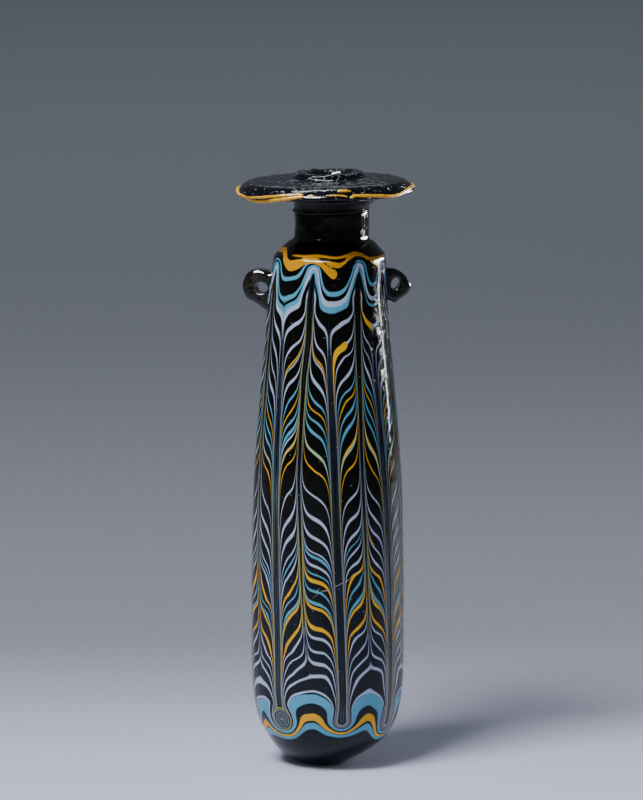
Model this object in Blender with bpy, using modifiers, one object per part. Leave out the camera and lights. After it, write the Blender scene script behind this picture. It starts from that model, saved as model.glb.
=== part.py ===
"""A core-formed glass alabastron: a tall perfume bottle with a wide rim disc and two ring handles.

The bottle stands on the small flat of its foot, with its axis up the Z axis and its handles to the
left (-X) and the right (+X). Heights are measured from the surface that it stands on.
"""

import math
from typing import NamedTuple

import bmesh
import bpy
from mathutils import Matrix, Vector

MM = 0.001

# Bottle, outside
BELLY_RADIUS = 19.3 * MM
BELLY_HEIGHT = 46.0 * MM
NECK_FOOT_HEIGHT = 134.0 * MM
NECK_RADIUS = 9.35 * MM
SHOULDER_RADIUS = 14.2 * MM
SHOULDER_DROP = 6.5 * MM
SHOULDER_HEIGHT = NECK_FOOT_HEIGHT - SHOULDER_DROP
NECK_LENGTH = 6.3 * MM
FOOT_RADIUS = 6.0 * MM

# Bottle, inside
WALL = 3.4 * MM
FLOOR_THICKNESS = 5.0 * MM
INNER_FLOOR_RADIUS = 3.0 * MM
BORE_RADIUS = 5.0 * MM
SHOULDER_WALL = 4.0 * MM

# Rim disc, which sits on the neck by a short collar
SEAM_GAP = 0.3 * MM
COLLAR_RADIUS = 10.2 * MM
COLLAR_LENGTH = 3.4 * MM
COLLAR_FILLET = 0.4 * MM
DISC_RADIUS = 22.1 * MM
DISC_EDGE_THICKNESS = 2.8 * MM
DISC_UNDERSIDE_RISE = 0.9 * MM
DISC_TOP_RISE = 1.2 * MM
LIP_RISE = 1.1 * MM
LIP_INNER_RADIUS = 6.0 * MM
LIP_OUTER_RADIUS = 7.4 * MM
LIP_ROUND = 2.2 * MM
LIP_DEPTH = 1.4 * MM

# Handles: how far each stands off the wall, its height, its width, how far its middle is below the
# shoulder, and where it is round the bottle
HANDLE_GAP = 0.3 * MM
HANDLE_ROOT_DEPTH = 3.0 * MM
HANDLE_EDGE_ROUND = 0.9 * MM
LEFT_REACH = 7.1 * MM
LEFT_HEIGHT = 10.5 * MM
LEFT_WIDTH = 4.6 * MM
LEFT_DROP = 6.4 * MM
LEFT_ANGLE = math.radians(165)
RIGHT_REACH = 6.15 * MM
RIGHT_HEIGHT = 8.9 * MM
RIGHT_WIDTH = 4.2 * MM
RIGHT_DROP = 5.6 * MM
RIGHT_ANGLE = math.radians(6)

# Cord hole through each handle: half its width and height, how far out it is, and its lean
LEFT_HOLE_SIDE = 2.2 * MM
LEFT_HOLE_UP = 1.7 * MM
LEFT_HOLE_REACH = 2.7 * MM
LEFT_HOLE_LEAN = 0.0
RIGHT_HOLE_SIDE = 1.15 * MM
RIGHT_HOLE_UP = 1.6 * MM
RIGHT_HOLE_REACH = 2.6 * MM
RIGHT_HOLE_LEAN = math.radians(-18)

# How far the hand-made bottle strays from a true turned form
FOOT_DRIFT = -1.6 * MM
FOOT_DRIFT_END = 8.0 * MM
NECK_DRIFT = 1.1 * MM
NECK_DRIFT_BELOW = 16.0 * MM
NECK_DRIFT_ABOVE = 4.0 * MM
MOUTH_DRIFT = -0.75 * MM
DISC_DRIFT = -0.95 * MM
SEAM_TILT = math.radians(2.6)
DISC_TILT = math.radians(1.0)

# Points closer than this are one point
WELD = 0.001 * MM

# Facets
TURN_STEPS = 48
OUTER_CURVE_STEPS = 3
INNER_CURVE_STEPS = 1
OUTER_HEEL_STEPS = 12
INNER_HEEL_STEPS = 7
EDGE_STEPS = 8
HOLE_STEPS = 20
HANDLE_CURVE_STEPS = 3

# Shares of the way down, and of the way out, from the foot of the neck to the shoulder, and from
# there to the belly
SHOULDER_CURVE = ((0.12, 0.09), (0.2, 0.29), (0.52, 0.71), (0.7, 0.91), (1.0, 1.0))
TAPER_CURVE = ((0.2, 0.26), (0.44, 0.62), (0.69, 0.89), (1.0, 1.0))

# The heel: the greater this is, the further down it stays as wide as the belly
HEEL_FULLNESS = 6.9

# Handle outlines: shares of the reach and of the height, round the handle from its upper root
LEFT_OUTLINE = ((0.0, 0.33), (0.3, 0.39), (0.64, 0.375), (0.88, 0.25), (1.0, 0.04), (0.97, -0.17),
                (0.8, -0.33), (0.47, -0.44), (0.12, -0.6), (-0.1, -0.63))
RIGHT_OUTLINE = ((0.0, 0.44), (0.36, 0.42), (0.7, 0.27), (0.93, 0.06), (1.0, -0.05), (0.93, -0.22),
                 (0.72, -0.37), (0.5, -0.46), (0.36, -0.54), (0.14, -0.49), (-0.1, -0.42))

SEAM_HEIGHT = NECK_FOOT_HEIGHT + NECK_LENGTH
COLLAR_TOP = SEAM_HEIGHT + SEAM_GAP + COLLAR_LENGTH

# Glass colours
BOTTLE_GLASS = (0.010, 0.013, 0.024, 1.0)
RIM_GLASS = (0.008, 0.009, 0.013, 1.0)
HANDLE_GLASS = (0.014, 0.014, 0.010, 1.0)
GLASS_ROUGHNESS = 0.08


def start_clean():
    for old in list(bpy.data.objects):
        bpy.data.objects.remove(old)


def new_collection(name):
    made = bpy.data.collections.new(name)
    bpy.context.scene.collection.children.link(made)
    return made


def glaze(piece, colour):
    """Gives the piece its own dark glass, which looks opaque at this thickness."""
    made = bpy.data.materials.new(piece.name + "_glass")
    made.use_nodes = True
    shader = made.node_tree.nodes["Principled BSDF"]
    shader.inputs["Base Color"].default_value = colour
    shader.inputs["Roughness"].default_value = GLASS_ROUGHNESS
    shader.inputs["Metallic"].default_value = 0.0
    made.diffuse_color = colour
    piece.data.materials.clear()
    piece.data.materials.append(made)


def smooth_line(points, steps):
    """A Catmull-Rom curve through the points, with this many short lines to each stretch."""
    line = []
    for i in range(len(points) - 1):
        here, there = Vector(points[i]), Vector(points[i + 1])
        before = Vector(points[i - 1]) if i else 2 * here - there
        after = Vector(points[i + 2]) if i + 2 < len(points) else 2 * there - here
        for step in range(steps):
            t = step / steps
            line.append(0.5 * (2 * here + (there - before) * t
                               + (2 * before - 5 * here + 4 * there - after) * t * t
                               + (3 * here - before - 3 * there + after) * t ** 3))
    line.append(Vector(points[-1]))
    return line


def between(curve, start, end):
    """Points (radius, height) along a curve of shares, from start to end."""
    return [(start[0] + (end[0] - start[0]) * swell, start[1] + (end[1] - start[1]) * way)
            for way, swell in curve]


def heel(belly, foot, steps):
    """Points (radius, height) from below the belly down to the foot, closer together near the foot."""
    points = []
    for step in range(1, steps + 1):
        way = math.sin(math.pi / 2 * step / steps)
        swell = 1 - way ** HEEL_FULLNESS
        points.append(Vector((foot[0] + (belly[0] - foot[0]) * swell,
                              belly[1] + (foot[1] - belly[1]) * way)))
    return points


def bottle_outline(neck, shoulder, belly, foot, curve_steps, heel_steps):
    """The outline from the foot of the neck down to the foot, each place given as (radius, height)."""
    points = [neck] + between(SHOULDER_CURVE, neck, shoulder) + between(TAPER_CURVE, shoulder, belly)
    return smooth_line(points, curve_steps) + heel(belly, foot, heel_steps)


def outer_outline(grown=0.0):
    """The outside of the bottle, from the foot of the neck down, grown outwards by this much."""
    return [Vector((r + grown, z)) for r, z in bottle_outline(
        (NECK_RADIUS, NECK_FOOT_HEIGHT), (SHOULDER_RADIUS, SHOULDER_HEIGHT),
        (BELLY_RADIUS, BELLY_HEIGHT), (FOOT_RADIUS, 0.0), OUTER_CURVE_STEPS, OUTER_HEEL_STEPS)]


def inner_outline():
    """The inside of the bottle, from the foot of the bore down to the inner floor."""
    return bottle_outline(
        (BORE_RADIUS, NECK_FOOT_HEIGHT - SHOULDER_WALL),
        (SHOULDER_RADIUS - WALL, SHOULDER_HEIGHT - SHOULDER_WALL),
        (BELLY_RADIUS - WALL, BELLY_HEIGHT), (INNER_FLOOR_RADIUS, FLOOR_THICKNESS),
        INNER_CURVE_STEPS, INNER_HEEL_STEPS)


def outer_radius(height):
    """The bottle's outer radius at a height between its foot and the foot of its neck."""
    line = outer_outline()
    for upper, lower in zip(line, line[1:]):
        if lower.y <= height <= upper.y:
            share = (height - lower.y) / (upper.y - lower.y)
            return lower.x + (upper.x - lower.x) * share
    return NECK_RADIUS


def ease(low, high, value):
    """0 below low, 1 above high, and a smooth rise between."""
    t = min(max((value - low) / (high - low), 0.0), 1.0)
    return t * t * (3 - 2 * t)


def hand_made(point):
    """Moves a point of the true turned form to where the maker's hand left it."""
    x, y, z = point
    foot = 1 - ease(0.0, FOOT_DRIFT_END, z)
    neck = ease(NECK_FOOT_HEIGHT - NECK_DRIFT_BELOW, NECK_FOOT_HEIGHT + NECK_DRIFT_ABOVE, z)
    mouth = ease(SEAM_HEIGHT + SEAM_GAP, COLLAR_TOP + DISC_UNDERSIDE_RISE + DISC_EDGE_THICKNESS, z)
    disc = mouth * ease(LIP_OUTER_RADIUS + LIP_ROUND, DISC_RADIUS, math.hypot(x, y))
    on_disc = ease(SEAM_HEIGHT + SEAM_GAP, COLLAR_TOP, z)
    slope = math.tan(SEAM_TILT) * (1 - on_disc) + math.tan(DISC_TILT) * on_disc
    drift = FOOT_DRIFT * foot + NECK_DRIFT * neck + MOUTH_DRIFT * mouth + DISC_DRIFT * disc
    return Vector((x + drift, y, z + x * slope * ease(NECK_FOOT_HEIGHT, SEAM_HEIGHT, z)))


def mesh_of(obj):
    """The object's shape with its modifiers or its bevel worked out, as a mesh of its own."""
    bpy.context.view_layer.update()
    graph = bpy.context.evaluated_depsgraph_get()
    return bpy.data.meshes.new_from_object(obj.evaluated_get(graph))


def finish_mesh(mesh, moved):
    """Moves every vertex, welds what meets and turns the faces out."""
    shape = bmesh.new()
    shape.from_mesh(mesh)
    for vertex in shape.verts:
        vertex.co = moved(vertex.co)
    bmesh.ops.remove_doubles(shape, verts=shape.verts, dist=WELD)
    bmesh.ops.recalc_face_normals(shape, faces=shape.faces)
    shape.to_mesh(mesh)
    shape.free()
    mesh.shade_smooth()
    mesh.set_sharp_from_angle(angle=math.radians(35))


def turned(name, outline, closed, group):
    """A profile of (radius, height) points turned about the Z axis, then moved as the hand left it."""
    profile = bpy.data.meshes.new(name + "_profile")
    edges = [(i, i + 1) for i in range(len(outline) - 1)]
    if closed:
        edges.append((len(outline) - 1, 0))
    profile.from_pydata([(r, 0.0, z) for r, z in outline], edges, [])
    lathe = bpy.data.objects.new(name + "_lathe", profile)
    group.objects.link(lathe)
    screw = lathe.modifiers.new("Turn", "SCREW")
    screw.steps = screw.render_steps = TURN_STEPS
    screw.use_merge_vertices = True
    screw.merge_threshold = WELD
    mesh = mesh_of(lathe)
    bpy.data.objects.remove(lathe)
    mesh.name = name
    finish_mesh(mesh, hand_made)
    made = bpy.data.objects.new(name, mesh)
    group.objects.link(made)
    return made


def make_bottle(group):
    """Body, shoulder and neck: one hollow piece, open at the top of the neck."""
    inside = list(reversed(inner_outline()))
    outline = [Vector((0.0, FLOOR_THICKNESS))] + inside
    outline.append(Vector((BORE_RADIUS, SEAM_HEIGHT)))
    outline.append(Vector((NECK_RADIUS, SEAM_HEIGHT)))
    outline += outer_outline()
    outline.append(Vector((0.0, 0.0)))
    return turned("bottle", outline, False, group)


def rim_outline():
    """The rim disc's section, round from the bottom of its bore."""
    bottom = SEAM_HEIGHT + SEAM_GAP
    edge_round = DISC_EDGE_THICKNESS / 2
    edge_middle = COLLAR_TOP + DISC_UNDERSIDE_RISE + edge_round
    edge_radius = DISC_RADIUS - edge_round
    crown = edge_middle + edge_round + DISC_TOP_RISE
    top = crown + LIP_RISE
    section = [(BORE_RADIUS, bottom), (BORE_RADIUS, top - LIP_DEPTH),
               ((LIP_INNER_RADIUS + BORE_RADIUS) / 2, top - LIP_DEPTH / 4), (LIP_INNER_RADIUS, top),
               (LIP_OUTER_RADIUS, top), (LIP_OUTER_RADIUS + LIP_ROUND * 0.6, top - LIP_RISE * 0.4),
               (LIP_OUTER_RADIUS + LIP_ROUND, crown)]
    for step in range(EDGE_STEPS + 1):
        angle = math.pi / 2 - math.pi * step / EDGE_STEPS
        section.append((edge_radius + edge_round * math.cos(angle),
                        edge_middle + edge_round * math.sin(angle)))
    section += [(COLLAR_RADIUS + COLLAR_FILLET, COLLAR_TOP), (COLLAR_RADIUS, COLLAR_TOP - COLLAR_FILLET),
                (COLLAR_RADIUS, bottom)]
    return section


def make_rim_disc(group):
    """The wide disc round the mouth, with the collar that joins it to the neck."""
    return turned("rim_disc", rim_outline(), True, group)


def hide(cutter):
    cutter.hide_render = True
    cutter.display_type = "WIRE"


def make_wall_cutter(tools):
    """The bottle's outer form with the handles' gap round it, which trims their roots."""
    outline = [Vector((0.0, NECK_FOOT_HEIGHT))] + outer_outline(HANDLE_GAP) + [Vector((0.0, 0.0))]
    made = turned("wall_cutter", outline, False, tools)
    hide(made)
    return made


class Handle(NamedTuple):
    """One ring handle: its outline, its sizes, its hole and its place on the wall."""
    name: str
    outline: tuple
    reach: float
    height: float
    width: float
    drop: float
    angle: float
    hole_side: float
    hole_up: float
    hole_reach: float
    hole_lean: float


def handle_place(handle):
    """Local X runs out from the wall, local Y up and local Z across the handle's width."""
    out = Vector((math.cos(handle.angle), math.sin(handle.angle), 0.0))
    up = Vector((0.0, 0.0, 1.0))
    level = SHOULDER_HEIGHT - handle.drop
    origin = hand_made(out * outer_radius(level) + up * level)
    return Matrix.Translation(origin) @ Matrix((out, up, out.cross(up))).transposed().to_4x4()


def handle_blank(handle, group):
    """The handle's flat outline, thickened, with rounded edges, as a mesh."""
    curve = bpy.data.curves.new(handle.name, "CURVE")
    curve.dimensions = "2D"
    curve.fill_mode = "BOTH"
    curve.bevel_depth = HANDLE_EDGE_ROUND
    curve.bevel_resolution = 2
    curve.offset = -HANDLE_EDGE_ROUND
    curve.extrude = handle.width / 2 - HANDLE_EDGE_ROUND
    ring = [(out * handle.reach, up * handle.height) for out, up in handle.outline]
    root = [(-HANDLE_ROOT_DEPTH, ring[-1][1]), (-HANDLE_ROOT_DEPTH, ring[0][1])]
    line = smooth_line(ring, HANDLE_CURVE_STEPS) + [Vector(point) for point in root]
    spline = curve.splines.new("POLY")
    spline.points.add(len(line) - 1)
    for point, (x, y) in zip(spline.points, line):
        point.co = (x, y, 0.0, 1.0)
    spline.use_cyclic_u = True
    blank = bpy.data.objects.new(handle.name + "_blank", curve)
    group.objects.link(blank)
    mesh = mesh_of(blank)
    bpy.data.objects.remove(blank)
    mesh.name = handle.name
    finish_mesh(mesh, Vector)
    return mesh


def make_drill(handle, tools):
    """The oval cutter that makes the hole for a cord."""
    bpy.ops.mesh.primitive_cylinder_add(vertices=HOLE_STEPS, radius=1.0, depth=2 * handle.width)
    drill = bpy.context.object
    drill.name = handle.name + "_drill"
    drill.data.transform(Matrix.Translation((handle.hole_reach, 0.0, 0.0))
                         @ Matrix.Rotation(handle.hole_lean, 4, "Z")
                         @ Matrix.Diagonal((handle.hole_side, handle.hole_up, 1.0, 1.0)))
    for owner in list(drill.users_collection):
        owner.objects.unlink(drill)
    tools.objects.link(drill)
    hide(drill)
    return drill


def make_handle(handle, wall, group, tools):
    """A ring handle pressed on the shoulder, with its cord hole, trimmed to the wall behind it."""
    made = bpy.data.objects.new(handle.name, handle_blank(handle, group))
    group.objects.link(made)
    drill = make_drill(handle, tools)
    made.matrix_world = drill.matrix_world = handle_place(handle)
    for cutter in (drill, wall):
        cut = made.modifiers.new("Cut", "BOOLEAN")
        cut.operation = "DIFFERENCE"
        cut.object = cutter
    return made


def main():
    start_clean()
    group = new_collection("alabastron")
    tools = new_collection("cutters")
    glaze(make_bottle(group), BOTTLE_GLASS)
    glaze(make_rim_disc(group), RIM_GLASS)
    wall = make_wall_cutter(tools)
    for handle in (
            Handle("handle_left", LEFT_OUTLINE, LEFT_REACH, LEFT_HEIGHT, LEFT_WIDTH, LEFT_DROP, LEFT_ANGLE,
                   LEFT_HOLE_SIDE, LEFT_HOLE_UP, LEFT_HOLE_REACH, LEFT_HOLE_LEAN),
            Handle("handle_right", RIGHT_OUTLINE, RIGHT_REACH, RIGHT_HEIGHT, RIGHT_WIDTH, RIGHT_DROP,
                   RIGHT_ANGLE, RIGHT_HOLE_SIDE, RIGHT_HOLE_UP, RIGHT_HOLE_REACH, RIGHT_HOLE_LEAN)):
        glaze(make_handle(handle, wall, group, tools), HANDLE_GLASS)


main()
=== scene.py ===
# %% [markdown]
# A core-formed glass perfume bottle, about 2400 years old. The maker wound hot glass round a core of
# clay, laid thin threads of white, turquoise and yellow glass round it, pressed them flush, and drew a
# pointed tool up and down through them, which pulled the threads into feathers. Then the rim disc and
# the two ring handles were pressed on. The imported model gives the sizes, and this script the looks.

import math

import bmesh
import bpy
import numpy as np
from mathutils import Matrix, Vector, noise


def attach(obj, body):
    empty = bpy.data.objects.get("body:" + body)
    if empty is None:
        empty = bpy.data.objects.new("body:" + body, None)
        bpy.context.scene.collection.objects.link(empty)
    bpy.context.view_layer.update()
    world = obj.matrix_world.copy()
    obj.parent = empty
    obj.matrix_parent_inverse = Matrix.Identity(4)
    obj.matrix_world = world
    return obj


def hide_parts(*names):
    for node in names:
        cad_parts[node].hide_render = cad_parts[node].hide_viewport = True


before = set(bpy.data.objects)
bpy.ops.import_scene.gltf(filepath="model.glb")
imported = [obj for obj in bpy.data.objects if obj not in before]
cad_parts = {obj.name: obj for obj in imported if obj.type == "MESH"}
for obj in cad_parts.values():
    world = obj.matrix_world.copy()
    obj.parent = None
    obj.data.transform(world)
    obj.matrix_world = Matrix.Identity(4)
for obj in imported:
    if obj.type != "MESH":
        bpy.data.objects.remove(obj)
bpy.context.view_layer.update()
MM = 0.001

# %% [markdown]
# The photograph looks slightly down from 1.4 m away through a long lens, so the rim disc shows as a thin
# ellipse. The lens and the aim below were found by fitting the bottle's outline to the picture.

# %% Stand the camera
EYE = Vector((-0.00153, -1.4, 0.2991))
AIM = Vector((-0.00153, 0.0, 0.0925))
LENS_MM = 253.2


def put_in_scene(name, data):
    made = bpy.data.objects.new(name, data)
    bpy.context.scene.collection.objects.link(made)
    return made


def turned_to(place, aim):
    return (Vector(aim) - Vector(place)).to_track_quat("-Z", "Y").to_euler()


lens = bpy.data.cameras.new("camera")
lens.sensor_width = 36.0
lens.lens = LENS_MM
lens.clip_start = 0.05
lens.clip_end = 60.0
camera = put_in_scene("camera", lens)
camera.location = EYE
camera.rotation_euler = turned_to(EYE, AIM)
bpy.context.scene.camera = camera
print("camera looks down", round(math.degrees(math.atan2(EYE.z - AIM.z, AIM.y - EYE.y)), 1), "degrees")

# %% [markdown]
# Every surface here is glass or plain paper, and each needs nodes. A small bench keeps the wiring short:
# it makes a material, and each of its tools adds a node or two and hands back the result.


# %% Make a bench for materials
class Bench:
    """A material being made, with short ways to add its nodes."""

    def __init__(self, name):
        self.material = bpy.data.materials.new(name)
        self.material.use_nodes = True
        self.tree = self.material.node_tree
        self.shader = self.tree.nodes["Principled BSDF"]

    def add(self, kind, **settings):
        made = self.tree.nodes.new(kind)
        for key, value in settings.items():
            setattr(made, key, value)
        return made

    def feed(self, socket, value):
        """A number or colour is set on the socket, and another node's result is wired to it."""
        if isinstance(value, bpy.types.NodeSocket):
            self.tree.links.new(value, socket)
        else:
            socket.default_value = value

    def sum(self, operation, *values, clamp=False):
        made = self.add("ShaderNodeMath", operation=operation, use_clamp=clamp)
        for socket, value in zip(made.inputs, values):
            self.feed(socket, value)
        return made.outputs[0]

    def plus(self, one, two):
        return self.sum("ADD", one, two)

    def minus(self, one, two):
        return self.sum("SUBTRACT", one, two)

    def times(self, one, two):
        return self.sum("MULTIPLY", one, two)

    def off(self, value, middle):
        """How far the value is from the middle, on either side."""
        return self.sum("ABSOLUTE", self.minus(value, middle))

    def stored(self, name):
        return self.add("ShaderNodeAttribute", attribute_name=name).outputs["Fac"]

    def step(self, value, low, high, start=0.0, end=1.0):
        """A smooth change from start to end as the value goes from low to high."""
        made = self.add("ShaderNodeMapRange", interpolation_type="SMOOTHSTEP")
        self.feed(made.inputs["Value"], value)
        for name, number in (("From Min", low), ("From Max", high), ("To Min", start), ("To Max", end)):
            self.feed(made.inputs[name], number)
        return made.outputs[0]

    def blend(self, share, under, over):
        made = self.add("ShaderNodeMix", data_type="RGBA")
        self.feed(made.inputs[0], share)
        self.feed(made.inputs[6], under)
        self.feed(made.inputs[7], over)
        return made.outputs[2]

    def place(self):
        return self.add("ShaderNodeTexCoord").outputs["Object"]

    def place_height(self):
        """The height above the floor, in metres."""
        made = self.add("ShaderNodeSeparateXYZ")
        self.feed(made.inputs[0], self.place())
        return made.outputs[2]

    def speckle(self, scale, detail=2.0, where=None, rough=0.5):
        made = self.add("ShaderNodeTexNoise")
        self.feed(made.inputs["Vector"], where if where is not None else self.place())
        made.inputs["Scale"].default_value = scale
        made.inputs["Detail"].default_value = detail
        made.inputs["Roughness"].default_value = rough
        return made.outputs["Fac"]

    def join(self, x, y, z):
        made = self.add("ShaderNodeCombineXYZ")
        for socket, value in zip(made.inputs, (x, y, z)):
            self.feed(socket, value)
        return made.outputs[0]

    def bump(self, height, depth, under=None):
        """Turns a height into small relief, depth metres deep."""
        made = self.add("ShaderNodeBump")
        made.inputs["Strength"].default_value = 1.0
        made.inputs["Distance"].default_value = depth
        self.feed(made.inputs["Height"], height)
        if under is not None:
            self.feed(made.inputs["Normal"], under)
        return made.outputs[0]

    def finish(self, colour, rough, relief, sheen=0.5, ior=None):
        """Wires the results to the surface, with how strong its gloss is."""
        inputs = self.shader.inputs
        self.feed(inputs["Base Color"], colour)
        self.feed(inputs["Roughness"], rough)
        self.feed(inputs["Normal"], relief)
        inputs["Specular IOR Level"].default_value = sheen
        if ior is not None:
            inputs["IOR"].default_value = ior


print("bench ready")

# %% [markdown]
# The bottle stands on plain pale blue-grey studio paper, and the paper's colour carries painted light:
# it is painted palest at the bottle's foot and greyer away from it, a painted pool of light that the
# lamps alone don't give, and paler again far back. One large floor does it, with a colour that changes
# slowly with the distance from the middle of the pool. The distance counts for less from left to right,
# so that the pale area is a broad oval.

# %% Lay the floor
FLOOR_SIDE = 9.0
PAPER_PAINTED_POOL_OF_LIGHT = (0.65, 0.665, 0.87, 1.0)
PAPER_PAINTED_DIMMER = (0.26, 0.277, 0.33, 1.0)
PAPER_FAR_PAINTED_LIGHT = (0.43, 0.465, 0.49, 1.0)
PAINTED_POOL_MIDDLE = (0.0, -0.06, 0.0)
PAINTED_POOL_OVAL = (0.4, 1.0, 1.0)
PAPER_SHEEN = 0.05

sheet = bpy.data.meshes.new("floor")
half = FLOOR_SIDE / 2
corners = [(-half, -half, 0), (half, -half, 0), (half, half, 0), (-half, half, 0)]
sheet.from_pydata(corners, [], [(0, 1, 2, 3)])
floor = put_in_scene("floor", sheet)
paper = Bench("paper")
narrowed = paper.add("ShaderNodeVectorMath", operation="MULTIPLY")
paper.feed(narrowed.inputs[0], paper.place())
narrowed.inputs[1].default_value = PAINTED_POOL_OVAL
distance = paper.add("ShaderNodeVectorMath", operation="DISTANCE")
paper.feed(distance.inputs[0], narrowed.outputs[0])
distance.inputs[1].default_value = PAINTED_POOL_MIDDLE
away = distance.outputs["Value"]
# painted pool of light: the paper is painted palest round the bottle's foot and greyer away from it
near = paper.blend(paper.step(away, 0.0, 0.25), PAPER_PAINTED_POOL_OF_LIGHT, PAPER_PAINTED_DIMMER)
# painted light: far back the paper is painted paler again
painted_light_tone = paper.blend(paper.step(away, 0.7, 1.8), near, PAPER_FAR_PAINTED_LIGHT)
matt = paper.step(paper.speckle(300.0), 0.3, 0.7, 0.55, 0.7)
paper.finish(painted_light_tone, matt, paper.bump(paper.speckle(1500.0, 3.0), 0.00002), PAPER_SHEEN)
sheet.materials.append(paper.material)
print("floor", FLOOR_SIDE, "m across")

# %% [markdown]
# Dark glossy glass shows its lamps more than itself. The photograph has a soft lamp high at the front
# left, which throws the shadow to the right and back, and lamps at the right rear, which draw the bright
# broken streak down the right side. Here the light on the floor and the light in the gloss are kept
# apart: the cards, marked sheen_only, show in the gloss and light nothing else. They draw the streaks on
# the rim and on the shoulder, the bright patches at the right of the neck and shoulder, and the streak
# below them. A weak lamp at the front left fills in, and the last one keeps the far floor from going dark.


# %% Hang the lamps
def hang_lamp(name, place, aim, size, power, colour=(1.0, 1.0, 1.0), sheen_only=False):
    light = bpy.data.lights.new(name, "AREA")
    light.shape = "RECTANGLE"
    light.size, light.size_y = size
    light.energy = power
    light.color = colour
    lamp = put_in_scene(name, light)
    lamp.location = place
    lamp.rotation_euler = turned_to(place, aim)
    lamp.visible_diffuse = not sheen_only
    lamp.visible_camera = False


hang_lamp("key", (-0.42, -0.50, 1.04), (0.0, 0.0, 0.05), (0.44, 0.36), 18.0)
hang_lamp("rim_sheen", (-0.17, 0.30, 1.12), (0.0, 0.0, 0.147), (0.54, 0.15), 7.5, sheen_only=True)
hang_lamp("shoulder_sheen", (-0.42, -0.38, 0.98), (0.0, 0.0, 0.13), (0.80, 0.30), 90.0, sheen_only=True)
hang_lamp("right_rear", (0.69, 0.37, 0.25), (0.0, 0.0, 0.11), (0.26, 0.30), 1.2)
hang_lamp("right_sheen", (0.62, 0.38, 0.20), (0.0, 0.0, 0.11), (0.42, 0.20), 12.0, sheen_only=True)
hang_lamp("right_near", (0.26, 0.15, 0.140), (0.0, 0.0, 0.140), (0.22, 0.06), 1.9, sheen_only=True)
hang_lamp("right_strip", (0.62, 0.36, 0.055), (0.0, 0.0, 0.1), (0.05, 0.05), 0.2, sheen_only=True)
hang_lamp("left_front", (-1.1, -1.3, 0.75), (0.0, 0.0, 0.08), (0.3, 0.3), 2.0, (0.96, 0.98, 1.0))
hang_lamp("far_floor", (0.0, 2.2, 1.2), (0.0, 2.1, 0.0), (0.8, 0.8), 1.3, (0.9, 0.97, 1.0))

SKY = (0.42, 0.46, 0.55, 1.0)
SKY_STRENGTH = 0.25
sky = bpy.data.worlds.new("studio")
bpy.context.scene.world = sky
sky.use_nodes = True
sky.node_tree.nodes["Background"].inputs["Color"].default_value = SKY
sky.node_tree.nodes["Background"].inputs["Strength"].default_value = SKY_STRENGTH
print("lamps", [light.name for light in bpy.data.lights])

# %% [markdown]
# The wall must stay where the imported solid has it, so its outline is drawn again from the same sizes: a
# smooth line through a few points from the neck down to the belly, and a fuller curve for the heel. The
# maker's hand left it a little out of true, and that is added after turning.

# %% Draw the outline again
BELLY = (19.3, 46.0)
SHOULDER = (14.2, 127.5)
NECK = (9.35, 134.0)
FOOT_RADIUS = 6.0
HEEL_FULLNESS = 6.9
SEAM = 140.3
COLLAR_TOP = 144.0
SHOULDER_CURVE = ((0.12, 0.09), (0.2, 0.29), (0.52, 0.71), (0.7, 0.91), (1.0, 1.0))
TAPER_CURVE = ((0.2, 0.26), (0.44, 0.62), (0.69, 0.89), (1.0, 1.0))
FOOT_LEFT, NECK_RIGHT, MOUTH_LEFT, DISC_LEFT = 1.6, 1.1, 0.75, 0.95
SEAM_TILT, DISC_TILT = 2.6, 1.0


def ease(low, high, value):
    t = np.clip((value - low) / (high - low), 0.0, 1.0)
    return t * t * (3 - 2 * t)


def smooth_line(points, steps):
    """A Catmull-Rom curve through the points, with this many short lines to each stretch."""
    p = np.array(points, float)
    p = np.vstack([2 * p[0] - p[1], p, 2 * p[-1] - p[-2]])
    t = (np.arange(steps) / steps)[:, None]
    line = []
    for before, here, there, after in zip(p, p[1:], p[2:], p[3:]):
        bend = 2 * before - 5 * here + 4 * there - after
        twist = 3 * here - before - 3 * there + after
        line.append(0.5 * (2 * here + (there - before) * t + bend * t ** 2 + twist * t ** 3))
    return np.vstack(line + [p[-2:-1]])


def wall_outline(neck, shoulder, belly, foot, curve_steps, heel_steps):
    """Points (radius, height) in mm from the foot of the neck down to the foot."""
    points = [neck]
    for curve, start, end in ((SHOULDER_CURVE, neck, shoulder), (TAPER_CURVE, shoulder, belly)):
        points += [(start[0] + (end[0] - start[0]) * out, start[1] + (end[1] - start[1]) * down)
                   for down, out in curve]
    way = np.sin(math.pi / 2 * np.arange(1, heel_steps + 1) / heel_steps)
    heel = np.stack([foot[0] + (belly[0] - foot[0]) * (1 - way ** HEEL_FULLNESS),
                     belly[1] + (foot[1] - belly[1]) * way], axis=1)
    return np.vstack([smooth_line(points, curve_steps), heel])


def out_of_true(x, y, z):
    """Moves points of the true turned form, in mm, to where the maker's hand left them."""
    foot = 1 - ease(0.0, 8.0, z)
    neck = ease(118.0, 138.0, z)
    mouth = ease(140.6, 147.7, z)
    disc = mouth * ease(9.6, 22.1, np.hypot(x, y))
    on_disc = ease(140.6, COLLAR_TOP, z)
    slope = (math.tan(math.radians(SEAM_TILT)) * (1 - on_disc)
             + math.tan(math.radians(DISC_TILT)) * on_disc)
    aside = x - FOOT_LEFT * foot + NECK_RIGHT * neck - MOUTH_LEFT * mouth - DISC_LEFT * disc
    return np.stack([aside, y, z + x * slope * ease(NECK[1], SEAM, z)], axis=-1)


def wall_radius(height):
    return np.interp(height, outline[::-1, 1], outline[::-1, 0])


outline = wall_outline(NECK, SHOULDER, BELLY, (FOOT_RADIUS, 0.0), 24, 120)
print("outline", len(outline), "points, widest", round(outline[:, 0].max(), 2), "mm")

# %% [markdown]
# The comb went up the wall eight times and down it eight times, turn about. A stroke drags the threads
# with it: most at its own line, less and less to each side. The paths of the six strokes that the
# photograph shows are given at a few heights, in degrees round the bottle, with 0 at the front. The
# rest go round the back at even steps.

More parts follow.
